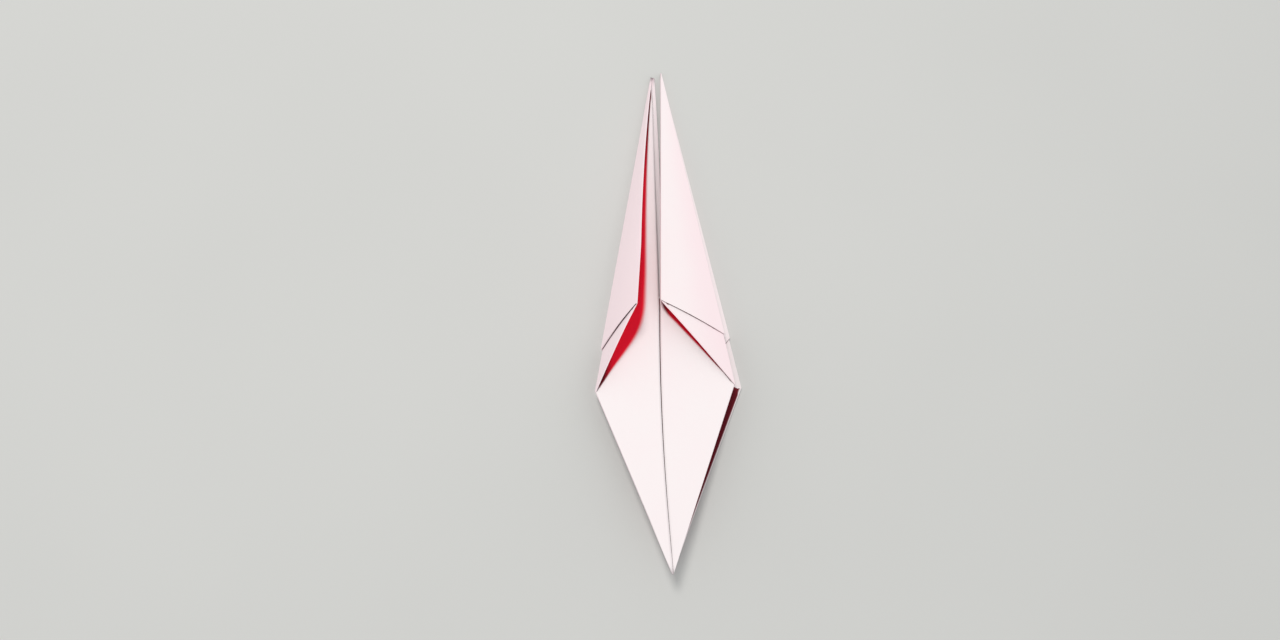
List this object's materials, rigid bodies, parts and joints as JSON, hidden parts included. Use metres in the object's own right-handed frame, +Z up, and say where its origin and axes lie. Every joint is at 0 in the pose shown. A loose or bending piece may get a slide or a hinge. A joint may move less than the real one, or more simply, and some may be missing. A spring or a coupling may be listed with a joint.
{
  "type": "folded paper crane base",
  "caption": "Square of pink paper folded to the crane's base with narrowed legs, a left flap standing open and the front wing sprung up.",
  "frame": {"origin": "centre of the box in plan, on the face that the folded sheet lies on", "axes": "+Y towards the tips of the two legs, +X to the right seen from above with the legs up, +Z up out of the front"},
  "size_m": [0.0416, 0.1508, 0.0199],
  "materials": {
    "paper": "matt uncoated"
  },
  "bodies": {
    "root": {"folded_sheet": "paper"}
  },
  "joints": []
}
